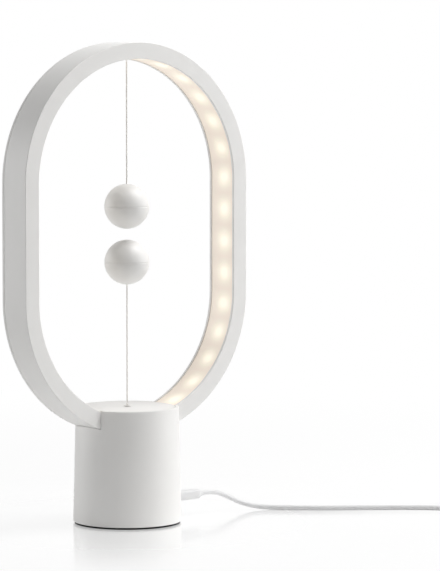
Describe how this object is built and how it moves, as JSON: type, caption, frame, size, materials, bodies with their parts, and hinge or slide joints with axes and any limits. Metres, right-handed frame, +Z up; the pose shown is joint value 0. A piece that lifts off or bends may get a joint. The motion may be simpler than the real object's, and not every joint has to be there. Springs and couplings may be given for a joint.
{
  "type": "magnetic balance lamp",
  "caption": "Table lamp: a lit oval ring on a round base, with two magnetic balls on cords; lifting the lower ball pulls its cord and switches the light on.",
  "frame": {"origin": "middle of the round base's underside, at the level that the lamp stands on", "axes": "+Z up, +X along the ring's width towards the side where the cable leaves, -Y out of the ring's front face"},
  "size_m": [0.3892, 0.2066, 0.3535],
  "materials": {
    "white_abs": "fine matt moulding",
    "opal_diffuser": "opal, lit from behind",
    "white_cord": "twisted cord",
    "white_cable": "soft matt jacket",
    "black_rubber": "matt foam rubber",
    "ballast": "cast",
    "zinc_plated_steel": "zinc plated",
    "nickel_plate": "nickel plated",
    "circuit_board_green": "solder mask",
    "strip_white": "white solder mask",
    "black_plastic": "moulded",
    "wire_insulation": "smooth"
  },
  "bodies": {
    "lamp": {"ring_housing": "white_abs", "ring_back_cover": "white_abs", "ring_diffuser": "opal_diffuser", "led_strip": "strip_white", "top_eyelet": "white_abs", "top_cord_stop": "white_cord", "base_shell": "white_abs", "base_top_cap": "white_abs", "base_eyelet": "white_abs", "base_bottom_plate": "white_abs", "foot_pad": "black_rubber", "ballast_weight": "ballast", "ring_saddle": "white_abs", "bottom_screw_1": "zinc_plated_steel", "bottom_screw_2": "zinc_plated_steel", "bottom_screw_3": "zinc_plated_steel", "bottom_screw_4": "zinc_plated_steel", "saddle_screw_1": "zinc_plated_steel", "saddle_screw_2": "zinc_plated_steel", "cap_screw_front": "zinc_plated_steel", "cap_screw_back": "zinc_plated_steel", "ring_screw_left": "zinc_plated_steel", "ring_screw_right": "zinc_plated_steel", "board_screw_front": "zinc_plated_steel", "board_screw_back": "zinc_plated_steel", "circuit_board": "circuit_board_green", "driver_chip": "black_plastic", "capacitor": "zinc_plated_steel", "usb_socket": "nickel_plate", "switch_barrel": "white_abs", "switch_end_cap": "white_abs", "slide_switch": "nickel_plate", "return_spring": "zinc_plated_steel", "led_lead": "wire_insulation", "switch_lead": "black_plastic", "micro_plug_body": "white_cable", "micro_plug_tip": "nickel_plate", "cable_run": "white_cable", "cable_coil": "white_cable", "cable_tail": "white_cable", "host_plug_body": "white_cable", "host_plug_shell": "nickel_plate"},
    "upper_knot": {"upper_knot": "white_cord"},
    "upper_ball": {"upper_cord": "white_cord", "upper_ball_top": "white_abs", "upper_ball_bottom": "white_abs", "upper_magnet": "nickel_plate", "upper_ball_knot": "white_cord"},
    "pull_slider": {"pull_slider": "white_cable", "switch_peg": "black_plastic", "pull_cord": "white_cord"},
    "lower_knot": {"lower_knot": "white_cord"},
    "lower_cord": {"lower_cord": "white_cord"},
    "lower_ball": {"lower_ball_top": "white_abs", "lower_ball_bottom": "white_abs", "lower_magnet": "nickel_plate", "lower_ball_knot": "white_cord"}
  },
  "joints": [
    {"name": "upper_swing_side", "type": "hinge", "parent": "lamp", "child": "upper_knot", "pos_m": [0, 0, 0.34065], "axis": [0, 1, 0], "range_deg": [-40, 40]},
    {"name": "upper_swing_front", "type": "hinge", "parent": "upper_knot", "child": "upper_ball", "pos_m": [0, 0, 0.34065], "axis": [1, 0, 0], "range_deg": [-75, 75]},
    {"name": "switch_pull", "type": "slide", "parent": "lamp", "child": "pull_slider", "axis": [0, 0, 1], "range_m": [-0.0035, 0], "deforming": ["return_spring"]},
    {"name": "lower_swing_side", "type": "hinge", "parent": "pull_slider", "child": "lower_knot", "pos_m": [0, 0, 0.08765], "axis": [0, 1, 0], "range_deg": [-10, 10]},
    {"name": "lower_swing_front", "type": "hinge", "parent": "lower_knot", "child": "lower_cord", "pos_m": [0, 0, 0.08765], "axis": [1, 0, 0], "range_deg": [-10, 10]},
    {"name": "lower_ball_drop", "type": "slide", "parent": "lower_cord", "child": "lower_ball", "axis": [0, 0, 1], "range_m": [-0.084, 0], "deforming": ["lower_cord"]}
  ]
}
